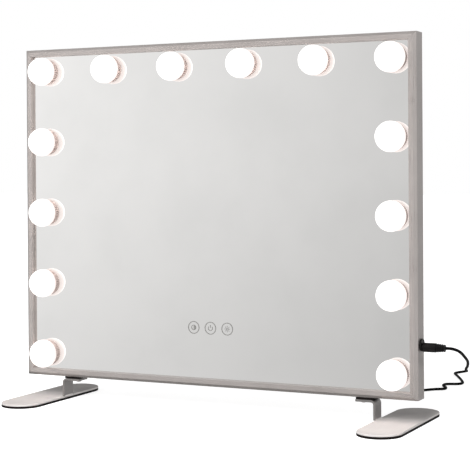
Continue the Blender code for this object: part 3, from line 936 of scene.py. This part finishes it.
def makeFoot(side, name):
    body = name + "_foot"
    low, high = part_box(name + "_foot_plate")
    plate = slab(stadium(low, high), high.z - low.z)
    bmesh.ops.translate(plate, verts=plate.verts, vec=(0, 0, low.z))
    soften(plate, feet["plateEdge"], 3)
    keep(plate, name + "FootPlate", footSteel, body, [name + "_foot_plate"], 25)
    top = high.z

    low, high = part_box(name + "_foot_pad")
    pad = slab(stadium(low, high), high.z - low.z)
    bmesh.ops.translate(pad, verts=pad.verts, vec=(0, 0, low.z))
    soften(pad, feet["padEdge"], 2)
    keep(pad, name + "FootPad", padRubber, body, [name + "_foot_pad"], 25)

    low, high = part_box(name + "_bracket")
    strip, bend = feet["strip"], feet["bend"]
    legOuter = max(abs(low.x), abs(high.x))
    legInner = legOuter - strip
    flangeEnd = min(abs(low.x), abs(high.x))
    under = high.z - strip
    centre = (legInner - bend, under - bend)
    outline = [(legInner, top), (legOuter, top)] + arc(centre, bend + strip, 0, 90, 10)
    outline += [(flangeEnd, high.z), (flangeEnd, under)] + arc(centre, bend, 90, 0, 10)
    bracket = slab([(side * x, z) for x, z in outline], high.y - low.y)
    settle(bracket, "front", (0, high.y, 0))
    soften(bracket, feet["stripEdge"], 2, None, 40)
    keep(bracket, name + "Bracket", bracketSteel, body, [name + "_bracket"], 25)

    weld, bury = feet["weld"], feet["bury"]
    for face, toward in ((legOuter, 1), (legInner, -1)):
        section = [(-bury, -bury), (weld, -bury), (weld * 0.35, weld * 0.35), (-bury, weld)]
        outline = [(side * (face + toward * out), top + up) for out, up in section]
        seam = slab(outline, high.y - low.y - 0.003)
        settle(seam, "front", (0, high.y - 0.0015, 0))
        soften(seam, 0.0003, 2, None, 40)
        keep(seam, name + ("WeldOut" if toward > 0 else "WeldIn"), footSteel, body)

    low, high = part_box(name + "_spacer")
    spacer = brick(low, high)
    soften(spacer, 0.0003, 2)
    keep(spacer, name + "Spacer", padRubber, body, [name + "_spacer"], 25)

    low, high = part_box(name + "_foot_screw")
    radius = (high.x - low.x) / 2
    rise, rim, socket = feet["screwRise"], feet["screwRim"], feet["socket"]
    dome = arc((0, 0), radius, 0, 72, 6)[1:]
    head = [(0, 0), (radius, 0), (radius, rim)]
    head += [(across, rim + up * (rise - rim) / radius) for across, up in dome]
    bottom = head[-1][1] - feet["socketDeep"]
    head += [(socket, head[-1][1]), (socket, bottom), (0, bottom)]
    screw = spun(head, 48)
    settle(screw, "down", ((low.x + high.x) / 2, (low.y + high.y) / 2, low.z + rise + 0.0001))
    keep(screw, name + "FootScrew", footSteel, "mirror", [name + "_foot_screw"], 30)


makeFoot(-1, "left")
makeFoot(1, "right")
print("feet made")

# back panel

back = {"edge": 0.0006, "bead": 0.014, "beadDeep": 0.0005, "screwIn": 0.010, "head": 0.0027}


def makeBack():
    low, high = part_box("back_panel")
    bm = brick(low, high)
    soften(bm, back["edge"], 2)
    rear = max(bm.faces, key=lambda face: face.calc_center_median().y * 10 + face.calc_area())
    bmesh.ops.inset_region(bm, faces=[rear], thickness=back["bead"], use_even_offset=True)
    bmesh.ops.inset_region(bm, faces=[rear], thickness=0.0008, depth=-back["beadDeep"], use_even_offset=True)
    keep(bm, "backPanel", backPlastic, "mirror", ["back_panel"], 25)
    inset = back["screwIn"]
    spots = []
    for share in (0.0, 0.25, 0.5, 0.75, 1.0):
        x = low.x + inset + (high.x - low.x - 2 * inset) * share
        spots += [(x, low.z + inset), (x, high.z - inset)]
    for share in (1 / 3, 2 / 3):
        z = low.z + inset + (high.z - low.z - 2 * inset) * share
        spots += [(low.x + inset, z), (high.x - inset, z)]
    heads = bmesh.new()
    for x, z in spots:
        dome = [(radius, height * 0.42) for radius, height in arc((0, 0), back["head"], 0, 90, 7)]
        dome[-1] = (0, dome[-1][1])
        button = spun([(0, 0)] + dome, 28)
        settle(button, "back", (x, high.y - 0.00005, z))
        gather(heads, button)
        for turn in (0, 1):
            slot = brick((-0.0016, -0.00025, 0), (0.0016, 0.00025, 0.00118))
            quarter = Matrix.Rotation(turn * math.pi / 2, 3, "Z")
            bmesh.ops.rotate(slot, verts=slot.verts, cent=(0, 0, 0), matrix=quarter)
            settle(slot, "back", (x, high.y - 0.00005, z))
            gather(heads, slot)
    keep(heads, "panelScrews", keyZinc, "mirror", (), 30)


makeBack()
print("back made")

# nodes that stay as they are

carried = {
    "corner_key_": keyZinc,
    "led_strip_": boardWhite,
    "control_board": boardWhite,
    "dc_jack": plugBlack,
}
for nodeName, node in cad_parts.items():
    for start, material in carried.items():
        if nodeName.startswith(start):
            node.data.materials.clear()
            node.data.materials.append(material)

# floor, studio light

studio = {
    "floorSize": 14.0,
    "floorTone": colour(0.50, 0.50, 0.50),
    "floorLift": 0.72,
    "keyPlace": (0.0, -2.6, 2.2),
    "keySize": 1.8,
    "keyPower": 215.0,
    "lampRadius": 0.018,
    "lampPower": 0.36,
    "lampColour": (1.0, 0.90, 0.86),
    "worldLift": 1.0,
}


def makeFloor():
    bm = bmesh.new()
    bmesh.ops.create_grid(bm, x_segments=4, y_segments=4, size=studio["floorSize"])
    mesh = bpy.data.meshes.new("studioFloor")
    bm.to_mesh(mesh)
    bm.free()
    lift = {"Emission Color": colour(1, 1, 1), "Emission Strength": studio["floorLift"]}
    lift["Specular IOR Level"] = 0.0
    material, wire, shader = newFinish("floorPaper", studio["floorTone"], 0.9, 0.0, lift)
    paper = wire.spots(3.0, 2.0)
    paper.limits(0.3, 0.7).blend(studio["floorTone"], colour(0.47, 0.47, 0.47)).feed(shader, "Base Color")
    mesh.materials.append(material)
    floor = bpy.data.objects.new("studioFloor", mesh)
    floor.location = (0, 0, -0.0002)
    bpy.context.scene.collection.objects.link(floor)
    floor.visible_glossy = False


def makeLights():
    data = bpy.data.lights.new("keySoftbox", "AREA")
    data.shape = "SQUARE"
    data.size = studio["keySize"]
    data.energy = studio["keyPower"]
    light = bpy.data.objects.new("keySoftbox", data)
    bpy.context.scene.collection.objects.link(light)
    place = Vector(studio["keyPlace"])
    light.location = place
    light.visible_glossy = False  # no hard glints along the rounded rail edges
    light.rotation_euler = (Vector((0, 0, 0.2)) - place).to_track_quat("-Z", "Y").to_euler()
    glow = bpy.data.lights.new("globeGlow", "POINT")  # a lamp inside each globe lights the rails beside it
    glow.energy = studio["lampPower"]
    glow.shadow_soft_size = studio["lampRadius"]
    glow.color = studio["lampColour"]
    for node in lampNodes:
        low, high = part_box(node)
        lit = bpy.data.objects.new("globeGlow", glow)
        lit.visible_glossy = False
        lit.location = ((low.x + high.x) / 2, low.y + (high.x - low.x) / 2, (low.z + high.z) / 2)
        bpy.context.scene.collection.objects.link(lit)


def makeWorld():  # a white backdrop, and a soft room that falls off towards the front and the right
    world = bpy.data.worlds.new("studioRoom")
    bpy.context.scene.world = world
    world.use_nodes = True
    tree = world.node_tree
    output = tree.nodes["World Output"]
    wire = Wire(tree)
    heading = wire.node("ShaderNodeTexCoord", out="Generated")
    x = wire.node("ShaderNodeSeparateXYZ", {}, {0: heading}, out=0)
    y = wire.node("ShaderNodeSeparateXYZ", {}, {0: heading}, out=1)
    z = wire.node("ShaderNodeSeparateXYZ", {}, {0: heading}, out=2)
    across = x * 0.5 + 0.5
    frontStops = [(0.0, 1.05), (0.22, 0.96), (0.34, 0.70), (0.5, 0.60), (0.7, 0.95), (1.0, 0.95)]
    backStops = [(0.0, 0.36), (0.28, 0.10), (0.55, 0.30), (0.72, 0.76), (1.0, 0.85)]
    front = wire.node("ShaderNodeValToRGB", {"stops": frontStops}, {0: across})
    rear = wire.node("ShaderNodeValToRGB", {"stops": backStops}, {0: across})
    room = y.limits(-0.25, 0.25).blend(front, rear)
    upStops = [(0.0, 0.58), (0.43, 0.58), (0.5, 0.68), (0.55, 0.70), (0.75, 0.85), (1.0, 1.0)]
    rise = wire.node("ShaderNodeValToRGB", {"stops": upStops}, {0: z * 0.5 + 0.5})
    tint = {"data_type": "RGBA", "blend_type": "MULTIPLY"}
    shade = wire.node("ShaderNodeMix", tint, {0: 1.0, 6: room, 7: rise}, out=2)
    soft = wire.node("ShaderNodeBackground", {}, {"Color": shade, "Strength": studio["worldLift"] / 0.68})
    plain = wire.node("ShaderNodeBackground", {}, {"Color": colour(1, 1, 1), "Strength": 1.0})
    seen = wire.node("ShaderNodeLightPath", out="Is Camera Ray")
    mixed = wire.node("ShaderNodeMixShader", {}, {0: seen, 1: soft, 2: plain})
    tree.links.new(mixed.socket, output.inputs["Surface"])


makeFloor()
makeLights()
makeWorld()
print("studio set")
